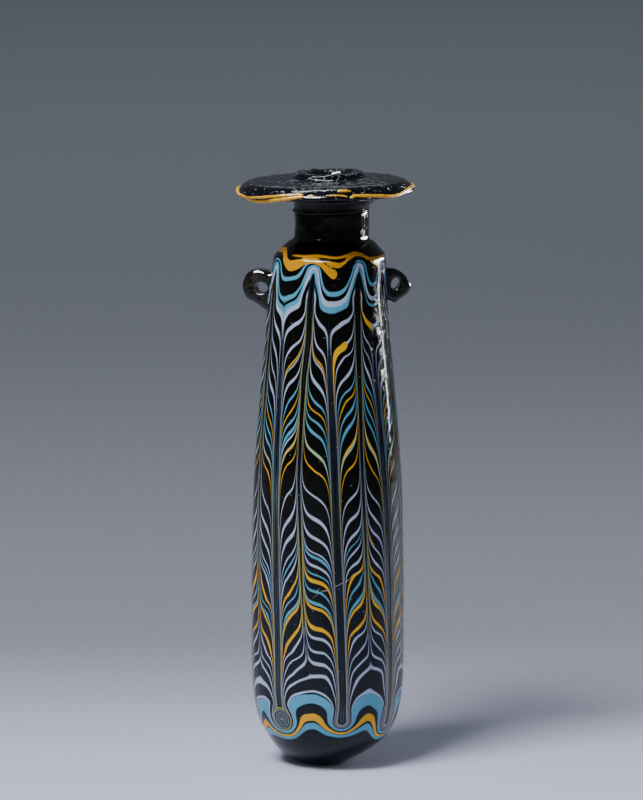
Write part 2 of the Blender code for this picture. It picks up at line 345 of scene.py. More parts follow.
# %% Lay out the strokes of the comb
STROKES_BACK = 11
UP_FRONT = (
    ((24, -61), (60, -66), (126, -68)),
    ((22, -10), (26, -13.5), (30, -15.3), (36, -17.2), (44, -18.8), (50, -20), (60, -21), (75, -23),
     (90, -22), (100, -21), (110, -17.8), (126, -16)),
    ((26, 34.5), (36, 33), (44, 32), (50, 31), (60, 30), (70, 28.7), (80, 28), (95, 28.5),
     (110, 29.3), (126, 31)),
)
DOWN_FRONT = (
    ((13.6, -39.5), (20, -40.7), (30, -40.5), (40, -41.5), (50, -42.5), (70, -44), (90, -45.2),
     (112, -46.5)),
    ((14, 11.5), (20, 11.7), (30, 10.5), (40, 9.5), (60, 7), (70, 6), (80, 5), (90, 3.8), (100, 2.2),
     (110, 1.2)),
    ((12.5, 57), (30, 54.8), (60, 52), (80, 49.3), (90, 48), (100, 46.5), (113, 46.5)),
)


def path_at(path, height):
    table = np.array(path, float)
    return np.interp(height, table[:, 0], table[:, 1])


def back_path(share):
    """A stroke round the back, at a share of the way from the last front stroke to the first."""
    heights = np.array([12.0, 40.0, 80.0, 126.0])
    last, first = path_at(DOWN_FRONT[-1], heights), path_at(UP_FRONT[0], heights) + 360
    unsteady = 0.8 * np.sin(heights / 17 + share * 31)
    return np.stack([heights, last + (first - last) * share + unsteady], axis=1)


back = [back_path(step / STROKES_BACK) for step in range(1, STROKES_BACK)]
up_paths = list(UP_FRONT) + back[0::2]
down_paths = list(DOWN_FRONT) + back[1::2]
up_starts = [24.5, 26.0, 26.5] + [26.0] * len(back[0::2])
up_ends = [127.0, 126.95, 127.6] + [127.0] * len(back[0::2])
down_starts = [119.6, 116.0, 113.5] + [115.5] * len(back[1::2])
down_ends = [13.6, 13.9, 12.0] + [13.5] * len(back[1::2])
print(len(up_paths), "strokes up,", len(down_paths), "strokes down")

# %% [markdown]
# How far a stroke drags a thread falls off with distance, as a number divided by the distance. Close to
# the line is a core that the tool carried along whole. At the upper end of an up stroke the threads wrap
# round the tip in broad arches, and at the lower end of a down stroke the glass piles up in a knob, so
# the drag is wider at both. Each place on the wall stores its distance from the cores, how strong the
# drag is, and the most that it can be so near to the stroke's start. All of these change smoothly over
# the wall, so the steep part can be left to the material, which works it out for each point of light.

# %% Work out how the comb drags
SHARPNESS = 0.14
UP_CORE = ((22, 0.0), (30, 0.22), (45, 0.3), (60, 0.42), (90, 0.55), (104, 0.72), (114, 0.7),
           (120, 0.1))
UP_STREAKED = ((24, 0.0), (30, 0.2), (60, 0.4), (90, 0.55), (104, 0.75), (117, 0.85), (122, 0.85),
               (124.5, 0.7), (126, 0.35), (127.2, -0.4))
UP_PULL = ((22, 2.2), (50, 3.8))
TIP_PULL = 10.6
TIP_WIDE = 2.25
TIP_SWELL = 0.55
SWELL_WIDE = 2.6
DOWN_CORE = ((17, 0.9), (30, 1.0), (60, 0.98), (85, 0.95), (100, 0.7), (108, 0.3), (114, 0.05))
DOWN_PULL = ((18, 7.5), (30, 6.9), (90, 6.9), (105, 5.4), (112, 4.6), (117, 6.0))
KNOB_REACH = 7.7
ROUND_REACH = 8.0
START_SOFT = 1.5
KNOB_AT = ((-180, 22.0, 0.9), (-100, 22.0, 0.9), (-64, 33.0, 0.6), (-50, 46.0, 0.5), (-30, 46.0, 0.5),
           (-11, 28.0, 0.9), (4, 16.5, 1.2), (20, 16.5, 1.2), (33, 20.0, 1.0), (57, 29.0, 0.8),
           (100, 22.0, 0.9), (180, 22.0, 0.9))


def soft_rise(value, soft):
    """0 well below zero and the value itself well above, with a soft turn between."""
    return soft * np.logaddexp(0.0, value / soft)


def fade(away, reach):
    """1 at no distance, falling softly to 0 at the reach."""
    return np.clip(1 - (away / reach) ** 2, 0.0, 1.0) ** 2


def strokes_near(paths, starts, ends, degrees, height, radius):
    """For each place on the wall, which stroke is nearest and how many mm away it is."""
    nearest, which = np.full(degrees.shape, 1e9), np.zeros(degrees.shape, int)
    for index, (path, start, end) in enumerate(zip(paths, starts, ends)):
        low, high = min(start, end), max(start, end)
        on_path = np.clip(height, low, high)
        across = (degrees - path_at(path, on_path) + 180) % 360 - 180
        away = np.hypot(np.radians(across) * radius, height - on_path)
        which = np.where(away < nearest, index, which)
        nearest = np.minimum(away, nearest)
    return nearest, which


def comb(degrees, height):
    """What the wall stores of the strokes at these places."""
    radius = wall_radius(height)
    away_up, which_up = strokes_near(up_paths, up_starts, up_ends, degrees, height, radius)
    away_down, which_down = strokes_near(down_paths, down_starts, down_ends, degrees, height, radius)
    up_gap = away_up - path_at(UP_CORE, height)
    tip = ease(116.0, 121.0, height)
    tip_pull = TIP_PULL * np.exp(-(away_up / TIP_WIDE) ** 2) * (np.maximum(up_gap, 0.0) + SHARPNESS)
    knob = 1 - ease(12.5, 18.0, height)
    knob_angle, knob_strength, knob_wide = np.array(KNOB_AT).T
    knob_pull = np.interp(degrees, knob_angle, knob_strength) * fade(away_down, KNOB_REACH)
    knob_core = np.interp(degrees, knob_angle, knob_wide)
    down_core = path_at(DOWN_CORE, height) * (1 - knob) + knob_core * knob
    rounded = 1 - (1 - ease(22.0, 32.0, height)) * (1 - fade(away_down, ROUND_REACH))
    down_pull = path_at(DOWN_PULL, height) * rounded * (1 - knob) + knob_pull * knob
    return {
        "up_gap": up_gap, "up_away": away_up, "up_which": which_up,
        "up_pull": path_at(UP_PULL, height) * (1 - tip) + tip_pull * tip,
        "up_most": soft_rise(height - np.array(up_starts)[which_up], START_SOFT),
        "up_streaked": away_up - path_at(UP_STREAKED, height),
        "tip_swell": TIP_SWELL * np.exp(-(away_up / SWELL_WIDE) ** 2) * ease(119.0, 124.0, height),
        "down_gap": away_down - down_core, "down_away": away_down, "down_which": which_down,
        "down_pull": down_pull,
        "down_most": soft_rise(np.array(down_starts)[which_down] - height, START_SOFT),
    }


def drag(gap, pull, most):
    return pull * most / (pull + most * (np.maximum(gap, 0.0) + SHARPNESS))


def unrolled(degrees, height):
    """The height that the thread now at this place had before the comb."""
    c = comb(degrees, height)
    return (height - drag(c["up_gap"], c["up_pull"], c["up_most"])
            + drag(c["down_gap"], c["down_pull"], c["down_most"]))


print("drag 1 mm from the middle of a down stroke", round(float(drag(0.05, 6.9, 60.0)), 1), "mm")

# %% [markdown]
# Between each up stroke and its neighbour is a panel of feathers, and five panels show. Each thread is
# listed from the top down: its colour, how thick it is, and how high it crosses the middle of each of
# the five panels, from left to right. Where a thread ends or changes colour, it is listed on its own:
# colour, thickness, an angle and its height there, and the angles of its ends. Round the back the threads
# keep their mean height.

# %% List the threads
WHITE, TURQUOISE, YELLOW, PALE = "white", "turquoise", "yellow", "pale"
THREADS = (
    (WHITE, 0.8, (112.4, 113.4, 114.0, 114.2, 114.4)),
    (WHITE, 0.7, (107.3, 108.0, 108.0, 108.4, 109.4)),
    (WHITE, 0.5, (101.4, 102.6, 103.8, 105.5, 105.8)),
    (WHITE, 0.9, (97.0, 99.2, 98.8, 100.3, 101.3)),
    (TURQUOISE, 0.6, (92.3, 94.8, 94.0, 96.8, 96.6)),
    (YELLOW, 0.45, (89.2, 91.2, 91.7, 94.6, 94.2)),
    (TURQUOISE, 0.75, (86.2, 88.5, 89.3, 91.0, 90.6)),
    (TURQUOISE, 1.0, (83.2, 86.0, 86.2, 87.7, 87.2)),
    (PALE, 0.9, (79.6, 82.0, 81.2, 82.0, 81.5)),
    (YELLOW, 0.5, (76.4, 78.2, 77.0, 77.5, 75.9)),
    (WHITE, 0.6, (67.8, 70.5, 70.5, 70.1, 69.3)),
    (WHITE, 0.95, (62.4, 63.8, 64.8, 65.0, 64.0)),
    (WHITE, 0.9, (57.3, 59.3, 59.8, 60.5, 60.2)),
    (WHITE, 0.5, (53.0, 54.7, 56.2, 56.3, 56.2)),
    (WHITE, 0.7, (50.0, 49.8, 52.8, 53.3, 52.6)),
    (YELLOW, 0.9, (43.5, 45.7, 49.3, 50.8, 50.0)),
    (TURQUOISE, 0.6, (41.9, 43.8, 46.8, 47.1, 46.5)),
    (TURQUOISE, 0.9, (40.2, 41.2, 43.4, 43.2, 42.8)),
    (YELLOW, 0.9, (38.3, 39.9, 42.2, 42.0, 41.8)),
    (YELLOW, 0.95, (33.7, 34.4, 37.2, 37.1, 37.2)),
    (WHITE, 0.6, (29.6, 31.1, 34.9, 35.1, 35.0)),
    (WHITE, 0.5, (27.2, 28.9, 31.3, 30.6, 31.0)),
    (WHITE, 0.75, (24.4, 25.6, 28.2, 27.6, 28.7)),
)
LOCAL_THREADS = (
    (TURQUOISE, 0.95, -45, 124.5, -103, -15),
    (TURQUOISE, 0.95, 3, 121.3, -103, 32),
    (TURQUOISE, 0.9, 47, 123.2, -180, -103),
    (WHITE, 1.3, 47, 119.7, -180, -103),
    (TURQUOISE, 0.6, 47, 117.9, -180, -103),
    (TURQUOISE, 0.9, 47, 123.2, 27, 180),
    (TURQUOISE, 1.2, -31, 119.3, -103, -14),
    (WHITE, 1.2, -31, 118.0, -103, -14),
    (WHITE, 1.35, 3, 118.7, -19, 31),
    (TURQUOISE, 1.3, 3, 117.3, -19, 28),
    (WHITE, 1.3, 47, 119.7, 29, 180),
    (TURQUOISE, 0.6, 47, 117.9, 31, 180),
    (YELLOW, 0.55, -33, 103.7, -42, -17),
    (YELLOW, 0.4, -9, 104.7, -17, 0),
    (YELLOW, 2.5, 15, 107.9, 2, 18.5),
    (YELLOW, 1.6, 39, 114.0, 34, 46),
    (WHITE, 0.5, -34, 84.4, -42, -22),
    (YELLOW, 0.6, -34, 81.7, -42, -22),
    (YELLOW, 0.55, 16, 82.4, 10, 46),
    (TURQUOISE, 1.0, -6, 54.9, -19, 3),
    (TURQUOISE, 0.5, -31, 52.4, -103, -23),
    (TURQUOISE, 0.35, 19, 58.4, 10, 28),
    (YELLOW, 0.5, 41, 57.0, 30, 38),
    (TURQUOISE, 0.35, -6, 50.9, -18, 3),
)
LOW_BANDS = (
    (WHITE, 25.9, 25.0),
    (WHITE, 21.9, 21.3),
    (TURQUOISE, 21.1, 18.1),
    (YELLOW, 16.0, 14.0),
    (TURQUOISE, 13.4, 11.5),
)
PANELS = 5


def panel_middle(panel, height):
    up, down = (panel + 1) // 2, panel // 2
    return (path_at(up_paths[up], height) + path_at(down_paths[down], height)) / 2


threads = []
middle_levels = np.zeros((len(THREADS), PANELS))
middle_shift = np.zeros((len(THREADS), PANELS))
for row, (colour, thick, heights) in enumerate(THREADS):
    places = np.array([panel_middle(panel, heights[panel]) for panel in range(PANELS)])
    before = unrolled(places, np.array(heights))
    middle_levels[row] = heights
    middle_shift[row] = before.mean() - before
    threads.append((colour, thick, before.mean(), None, None))
print(len(threads), "threads all round")

# %% [markdown]
# The threads don't cross each panel at quite the same height. Each place on the wall stores its height
# plus the small shift that brings its panel in line with the others. Low down, where the broad bands
# wave under the knobs, the shift goes with the angle alone: the bands hang lower at the left.

# %% Bring the panels in line
LOW_SHIFT = ((-180, 1.0), (-100, 1.6), (-64, 3.5), (-40, 1.2), (-11, 0.0), (12, 0.5), (33, 0.7),
             (57, 1.5), (80, 2.2), (180, 1.0))


def in_line(degrees, height):
    """The height plus the shift of the panels, for a grid of one height to each row."""
    rows = height[:, 0]
    shift = np.zeros(degrees.shape)
    for index, z in enumerate(rows):
        places = [panel_middle(panel, z) for panel in range(PANELS)]
        steps = [np.interp(z, middle_levels[::-1, panel], middle_shift[::-1, panel])
                 for panel in range(PANELS)]
        shift[index] = np.interp(degrees[index], [-100] + places + [80], [0.0] + steps + [0.0])
    low = np.interp(degrees, *np.array(LOW_SHIFT, float).T)
    share = ease(20.0, 26.0, height)
    return height + low * (1 - share) + shift * share


def thread_level(angle, height):
    """The height before the comb of a thread that crosses this angle at this height."""
    place = np.array([[float(angle)]])
    spot = np.array([[float(height)]])
    return float((unrolled(place, spot) + in_line(place, spot) - spot)[0, 0])


for colour, thick, angle, height, start, end in LOCAL_THREADS:
    threads.append((colour, thick, thread_level(angle, height), start, end))
for colour, high, low in LOW_BANDS:
    above, below = thread_level(-10.5, high), thread_level(-10.5, low)
    threads.append((colour, above - below, (above + below) / 2, None, None))
levels = [middle for colour, thick, middle, start, end in threads]
print("levels from", round(min(levels), 1), "to", round(max(levels), 1), "mm")

# %% [markdown]
# Above the feathers a thick yellow thread runs round the shoulder in waves, with its end pressed in as a
# blob near the front, and a thinner pair goes on to the right. Their middles and half thicknesses are
# given at a few angles, and the wall stores how far inside a thread each place is.

# %% Lay the yellow threads on the shoulder
SHOULDER_THREADS = (
    ((-180, 129.5, 0.5), (-78, 131.0, 0.6), (-67, 130.8, 0.55), (-60, 130.3, 0.5), (-55, 129.3, 0.85),
     (-50, 128.3, 1.1), (-45, 127.8, 1.3), (-40, 127.9, 1.35), (-33, 128.4, 1.15), (-26, 129.2, 0.85),
     (-18, 129.4, 0.7), (-10, 128.8, 0.75), (-5, 127.7, 0.85), (0, 126.7, 1.1), (3, 126.2, 1.2),
     (5, 126.05, 1.15), (7, 126.05, 0.8), (8.2, 126.05, 0.0)),
    ((-48, 130.3, 0.0), (-44, 130.3, 0.2), (-30, 130.3, 0.25), (-14, 130.5, 0.3), (5, 130.1, 0.28),
     (15, 130.4, 0.28), (25, 131.0, 0.3), (30, 131.1, 0.3), (40, 130.5, 0.3), (50, 129.5, 0.3),
     (180, 129.5, 0.5)),
    ((-6, 129.3, 0.0), (-3, 129.0, 0.4), (0, 128.7, 0.6), (5, 128.4, 0.65), (10, 128.3, 0.6),
     (15, 129.0, 0.45), (20, 129.9, 0.35), (30, 130.6, 0.25), (42, 129.9, 0.35), (47, 129.0, 0.45),
     (55, 127.8, 0.5), (62, 127.0, 0.4), (70, 127.0, 0.0)),
)


def inside_shoulder_threads(degrees, height):
    """How many mm inside the nearest shoulder thread each place is."""
    best = np.full(degrees.shape, -9.0)
    for thread in SHOULDER_THREADS:
        line = smooth_line(thread, 6)
        middle = np.interp(degrees, line[:, 0], line[:, 1])
        half_thick = np.interp(degrees, line[:, 0], line[:, 2])
        beyond = np.maximum(thread[0][0] - degrees, degrees - thread[-1][0])
        inside = half_thick - np.abs(height - middle) - np.maximum(beyond, 0.0)
        best = np.maximum(best, inside)
    return best


print(len(SHOULDER_THREADS), "threads on the shoulder")

# %% [markdown]
# The wall itself: the outline turned in fine steps, with the inside and the open mouth, so that it is a
# real hollow bottle. The comb left shallow furrows, and the hand a slight unevenness, which the lamps
# pick out. The furrows are deepest along the strokes' own lines.

# %% Turn the wall
COLUMNS = 300
OUTER_ROWS = 282
FURROW = 0.16
UP_FURROW_WIDE, DOWN_FURROW_WIDE = 1.1, 1.4
LUMPS = 0.09
INNER_NECK, INNER_SHOULDER = (5.0, 130.0), (10.8, 123.5)
INNER_BELLY, INNER_FLOOR = (15.9, 46.0), (3.0, 5.0)


def even_rows(line, count):
    """The line cut into equal lengths."""
    lengths = np.concatenate([[0], np.cumsum(np.hypot(*np.diff(line, axis=0).T))])
    where = np.linspace(0, lengths[-1], count)
    return np.stack([np.interp(where, lengths, side) for side in line.T], axis=1)


def uneven(points, scale, seed):
    """A smooth random number for each point, from -1 to 1."""
    flat = points.reshape(-1, 3)
    shift = Vector((seed, seed * 2.0, seed * 3.0))
    return np.array([noise.noise(Vector(p) * scale + shift) for p in flat]).reshape(points.shape[:-1])


def turn_rows(rows, columns):
    """Rows (radius, height) turned round the axis: a grid of places in mm, and each column's degrees."""
    degrees = np.arange(columns) * 360.0 / columns - 180.0
    radians = np.radians(degrees)
    x = rows[:, :1] * np.sin(radians)[None]
    y = -rows[:, :1] * np.cos(radians)[None]
    z = np.repeat(rows[:, 1:], columns, axis=1)
    return x, y, z, degrees


def grid_faces(row_count, columns):
    index = np.arange(row_count * columns).reshape(row_count, columns)
    right = np.roll(index, -1, axis=1)
    quads = np.stack([index[:-1], index[1:], right[1:], right[:-1]], axis=-1)
    return quads.reshape(-1, 4)


wall_rows = even_rows(outline, OUTER_ROWS)
neck_rows = np.array([(NECK[0], z) for z in np.linspace(SEAM, NECK[1], 13)[:-1]])
inner = wall_outline(INNER_NECK, INNER_SHOULDER, INNER_BELLY, INNER_FLOOR, 2, 10)
inner_rows = np.vstack([inner[::-1], [(INNER_NECK[0], SEAM)]])
rows = np.vstack([inner_rows, neck_rows, wall_rows])
x, y, z, degrees = turn_rows(rows, COLUMNS)
wide = np.repeat(degrees[None], len(rows), axis=0)
stored = comb(wide, z)
first = len(inner_rows)
outside = np.zeros(len(rows))
outside[first + len(neck_rows):-6] = 1.0
up_groove = np.exp(-(stored["up_away"] / UP_FURROW_WIDE) ** 2) * 0.8
down_groove = np.exp(-(stored["down_away"] / DOWN_FURROW_WIDE) ** 2)
groove = (up_groove * ease(20, 30, z) * (1 - ease(124, 128, z))
          + down_groove * ease(10, 20, z) * (1 - ease(108, 114, z)))
lumps = uneven(np.stack([x, y, z], axis=-1)[first:], 0.09, 3.0)
change = -FURROW * groove
change[first:] += LUMPS * lumps
change *= outside[:, None] * ease(2.0, 9.0, z)
grown = 1 + change / np.maximum(np.hypot(x, y), 1.0)
points = out_of_true(x * grown, y * grown, z) * MM
print("wall", points.shape, "furrows", round(float(-change.min()), 2), "mm")

# %% [markdown]
# Along some strokes the drawn-out threads lie so close that they show as one yellow-green line on each
# side. Each stroke has its own, over its own stretch of height. The first down stroke ends in a knob of
# glass wound into a spiral, and the second is nearly black. A thin pale crack runs up to the right from a
# small chip near the middle of the front.

# %% Note where the strokes have edge lines
UP_EDGES = (
    ((36, 0.0), (42, 0.5), (90, 0.5), (118, 0.35)),
    ((35, 0.0), (40, 1.0), (60, 1.0), (66, 0.25), (82, 0.2), (88, 0.7), (116, 0.7), (122, 0.0)),
    ((35, 0.0), (40, 0.7), (60, 0.6), (66, 0.15), (90, 0.4), (112, 0.3), (122, 0.0)),
)
DOWN_EDGES = (
    ((15, 1.0), (34, 1.0), (42, 0.4), (84, 0.35), (90, 0.0)),
    ((14, 0.2), (20, 0.35), (40, 0.3), (62, 0.25), (72, 0.4), (80, 0.1), (90, 0.0)),
    ((16, 0.1), (24, 0.35), (36, 0.35), (42, 0.1), (80, 0.0)),
)
DARK_STROKES = [0.0, 1.0, 0.6] + [0.4] * (len(down_paths) - 3)
KNOB_MIDDLE = (-39.5, 13.6)
CRACK = ((-12, 45.0), (-6, 47.0), (0, 47.4), (6, 48.4), (14, 49.5), (20, 51.2), (26, 52.3))
CHIP_MIDDLE = (-6.0, 47.2)


def edge_strength(tables, which, height):
    faint = tuple((h, 0.6 * s) for h, s in tables[-1])
    strengths = [path_at(table, height) for table in tables] + [path_at(faint, height)]
    return np.choose(np.minimum(which, len(tables)), strengths)


def away_from(middle, degrees, height):
    return np.hypot(np.radians(degrees - middle[0]) * wall_radius(middle[1]), height - middle[1])


def along_crack(degrees, height):
    """How many mm each place is to the side of the crack, and how many mm along it."""
    line = np.array(CRACK, float)
    across = np.radians(line[:, 0]) * BELLY[0]
    here = np.radians(degrees) * BELLY[0]
    side = height - np.interp(here, across, line[:, 1])
    return side, here - across[0]


print("edge lines on", len(UP_EDGES) + len(DOWN_EDGES), "strokes of the front")

# %% [markdown]
# The mesh carries all of this as stored numbers, one for each point. The angle jumps by a whole turn at
# the back, so it is stored for each corner of each face instead, and no face sees the jump.

# %% Store the comb on the wall
wall_mesh = bpy.data.meshes.new("bottle_wall")
inner_floor = list(range(COLUMNS))
foot_flat = [(len(rows) - 1) * COLUMNS + column for column in reversed(range(COLUMNS))]
wall_faces = grid_faces(len(rows), COLUMNS).tolist() + [inner_floor, foot_flat]
wall_mesh.from_pydata(points.reshape(-1, 3).tolist(), [], wall_faces)
kept = {key: values for key, values in stored.items() if not key.endswith("_which")}
kept["up_edge"] = edge_strength(UP_EDGES, stored["up_which"], z)
kept["down_edge"] = edge_strength(DOWN_EDGES, stored["down_which"], z)
kept["down_dark"] = np.array(DARK_STROKES)[stored["down_which"]] * ease(15.0, 22.0, z)
kept["crack_side"], kept["crack_along"] = along_crack(wide, z)
kept["chip_away"] = away_from(CHIP_MIDDLE, wide, z)
kept["knob_away"] = away_from(KNOB_MIDDLE, wide, z)
kept["level"] = in_line(wide, z)
kept["yellow_inside"] = inside_shoulder_threads(wide, z)
kept["height"] = z
kept["outer"] = np.repeat(outside[:, None], COLUMNS, axis=1)
for name, values in kept.items():
    note = wall_mesh.attributes.new(name, "FLOAT", "POINT")
    note.data.foreach_set("value", values.astype(np.float32).ravel())
corner = np.empty(len(wall_mesh.loops), np.int32)
wall_mesh.loops.foreach_get("vertex_index", corner)
turn = degrees[corner % COLUMNS]
quads = turn[:-2 * COLUMNS].reshape(-1, 4)
quads = np.where((quads < -90) & (quads.max(axis=1, keepdims=True) > 90), quads + 360, quads)
turn[:-2 * COLUMNS] = quads.ravel()
note = wall_mesh.attributes.new("degrees", "FLOAT", "CORNER")
note.data.foreach_set("value", turn.astype(np.float32))
triangles = sum(len(face.vertices) - 2 for face in wall_mesh.polygons)
print("triangles", triangles, "stored", sorted(kept))

# %% [markdown]
# Each kind of glass has its own colour. The dark glass is nearly black with a touch of brown, and it shows
# its colour only where it is thin. Low down it is painted bluer, a painted reflection of the pale floor.
# The threads are opaque.

# %% Choose the glass colours
GLASS = {
    WHITE: (0.40, 0.465, 0.63, 1.0),
    TURQUOISE: (0.085, 0.325, 0.47, 1.0),
    YELLOW: (0.72, 0.385, 0.004, 1.0),
    PALE: (0.36, 0.47, 0.31, 1.0),
}
DARK_ABOVE = (0.0022, 0.0020, 0.0012, 1.0)
# bluer low down as a painted reflection of the floor; also the dark glass of the cores and the chip
BLUE_BLACK_AND_PAINTED_REFLECTION = (0.0030, 0.0050, 0.0095, 1.0)
HAZE = (0.011, 0.022, 0.042, 1.0)
FINE_LINES = (0.12, 0.165, 0.22, 1.0)
EDGE_GLASS = (0.26, 0.27, 0.07, 1.0)
# the shoulder's yellow, a darker copy of the yellow glass as painted shade
SHOULDER_YELLOW_PAINTED_SHADE = (0.60, 0.275, 0.0015, 1.0)
BUBBLE = (0.30, 0.33, 0.38, 1.0)
CRACK_EDGE = (0.40, 0.38, 0.30, 1.0)
CHIP_EDGE = (0.62, 0.60, 0.55, 1.0)
SPIRAL_DARK = (0.010, 0.018, 0.030, 1.0)
SPIRAL_PALE = (0.16, 0.20, 0.22, 1.0)
GLASS_IOR = 1.52
WORN_SHEEN = 0.22
print(len(GLASS), "thread colours")

# %% [markdown]
# The combed material takes each point's level before the comb from the stored numbers, and a thread
# shows where that level is within half its thickness. A little noise makes the threads wander and swell
# as hand-laid ones do. Where the threads are steep their edges are softened, so that they don't turn
# jagged. Inside the cores they are drawn out so fine that only streaks are left.

# %% Paint the combed threads
combed = Bench("combed_glass")
up_gap, down_gap = combed.stored("up_gap"), combed.stored("down_gap")


def drag_nodes(bench, gap, pull, most):
    near = bench.plus(bench.sum("MAXIMUM", gap, 0.0), SHARPNESS)
    below = bench.plus(pull, bench.times(most, near))
    return bench.sum("DIVIDE", bench.times(pull, most), below)


pulled_up = drag_nodes(combed, up_gap, combed.stored("up_pull"), combed.stored("up_most"))
pulled_down = drag_nodes(combed, down_gap, combed.stored("down_pull"), combed.stored("down_most"))
level = combed.plus(combed.minus(combed.stored("level"), pulled_up), pulled_down)
wander = combed.times(combed.minus(combed.speckle(240.0, 1.0), 0.5), 0.7)
level = combed.plus(level, wander)
swell = combed.times(combed.minus(combed.speckle(120.0, 1.0), 0.5), 0.55)
swell = combed.plus(swell, combed.stored("tip_swell"))
angle = combed.stored("degrees")
near_up = combed.plus(combed.sum("MAXIMUM", up_gap, 0.0), 0.2)
near_down = combed.plus(combed.sum("MAXIMUM", down_gap, 0.0), 0.2)
steep_up = combed.sum("DIVIDE", pulled_up, near_up)
steep = combed.plus(steep_up, combed.sum("DIVIDE", pulled_down, near_down))
crisp = combed.sum("DIVIDE", 1.0, combed.sum("MULTIPLY_ADD", steep, 0.07, 0.22))
END_ROUND = 3.0


def end_loss(bench, beyond, thick):
    """How much thinner a thread is near its end, so that it ends round."""
    near = bench.sum("MAXIMUM", bench.sum("MULTIPLY_ADD", beyond, 1 / END_ROUND, 1.0), 0.0)
    return bench.times(bench.times(near, near), thick / 2)


def thread_mask(bench, middle, thick, start, end):
    inside = bench.minus(thick / 2, bench.off(level, middle))
    inside = bench.sum("MULTIPLY_ADD", swell, thick, inside)
    if start is not None and start > -180:
        inside = bench.minus(inside, end_loss(bench, bench.minus(start, angle), thick))
    if end is not None and end < 180:
        inside = bench.minus(inside, end_loss(bench, bench.minus(angle, end), thick))
    return bench.sum("MULTIPLY_ADD", inside, crisp, 0.5, clamp=True)


# painted reflection: the wall is painted bluer low down, changing to brown-black between 30 and 75 mm
high = combed.step(combed.stored("height"), 30.0, 75.0)
colour = combed.blend(high, BLUE_BLACK_AND_PAINTED_REFLECTION, DARK_ABOVE)
for kind, thick, middle, start, end in threads:
    mask = thread_mask(combed, middle, thick, start, end)
    colour = combed.blend(mask, colour, GLASS[kind])
print(len(combed.tree.nodes), "nodes with the threads")

# %% [markdown]
# In the cores, long fine streaks run with the stroke: a noise that is squeezed across the stroke and
# drawn out along it gives them. The edge lines lie just outside.

# %% Streak the cores and draw their edge lines
up_away, down_away = combed.stored("up_away"), combed.stored("down_away")
height = combed.stored("height")


def streaks(bench, away, seed, fine):
    spread = bench.join(bench.times(away, fine), bench.times(height, 0.035), seed)
    return bench.speckle(1.0, 2.0, spread, 0.6)


down_streak = streaks(combed, down_away, combed.times(angle, 0.02), 3.4)
down_haze = combed.step(down_streak, 0.36, 0.6)
down_clear = combed.sum("MULTIPLY_ADD", combed.stored("down_dark"), -0.75, 1.0)
down_haze = combed.times(down_haze, down_clear)
down_colour = combed.blend(down_haze, BLUE_BLACK_AND_PAINTED_REFLECTION, HAZE)
fine_streak = streaks(combed, down_away, combed.sum("MULTIPLY_ADD", angle, 0.03, 5.0), 7.5)
fine_share = combed.sum("MULTIPLY_ADD", down_haze, 0.7, 0.2)
fine_lines = combed.times(combed.step(fine_streak, 0.54, 0.7), fine_share)
down_colour = combed.blend(fine_lines, down_colour, FINE_LINES)
up_streak = streaks(combed, up_away, combed.plus(combed.times(angle, 0.02), 9.0), 4.0)
up_colour = combed.blend(combed.step(up_streak, 0.5, 0.75), DARK_ABOVE, HAZE)
up_streaked = combed.stored("up_streaked")
colour = combed.blend(combed.step(down_gap, -0.12, 0.1, 1.0, 0.0), colour, down_colour)
colour = combed.blend(combed.step(up_streaked, -0.12, 0.1, 1.0, 0.0), colour, up_colour)


def edge_line(bench, gap, strength, under):
    """A yellow-green line just outside a core."""
    close = bench.step(bench.off(gap, 0.1), 0.06, 0.24, 1.0, 0.0)
    near = bench.times(close, bench.stored(strength))
    return bench.blend(bench.times(near, 0.75), under, EDGE_GLASS)


colour = edge_line(combed, up_streaked, "up_edge", colour)
colour = edge_line(combed, down_gap, "down_edge", colour)
print(len(combed.tree.nodes), "nodes with the cores")

# %% [markdown]
# The spiral of the knob and the yellow of the shoulder are laid over the feathers. The shoulder's yellow
# is painted darker than the same yellow glass lower down, painted shade against the strong light there.

# %% Wind the spiral and lay the shoulder's yellow
knob_away = combed.stored("knob_away")
wobble = combed.times(combed.speckle(500.0, 1.0), 5.0)
ring = combed.sum("MULTIPLY_ADD", angle, 0.25, combed.sum("MULTIPLY_ADD", knob_away, 9.5, wobble))
ring = combed.sum("SINE", ring)
ring_colour = combed.blend(combed.step(ring, -0.5, 0.8), SPIRAL_DARK, SPIRAL_PALE)
colour = combed.blend(combed.step(knob_away, 2.5, 2.7, 1.0, 0.0), colour, ring_colour)
rim_of_knob = combed.step(combed.off(knob_away, 2.85), 0.1, 0.35, 0.8, 0.0)
colour = combed.blend(rim_of_knob, colour, EDGE_GLASS)
yellow = combed.step(combed.stored("yellow_inside"), -0.06, 0.08)
# painted shade: the shoulder's yellow thread is a darker copy of the yellow glass
colour = combed.blend(yellow, colour, SHOULDER_YELLOW_PAINTED_SHADE)
print(len(combed.tree.nodes), "nodes with the spiral and the shoulder")

# %% [markdown]
# Small bubbles show as pale specks. The crack is broken into short lengths, and its chip has a pale edge.

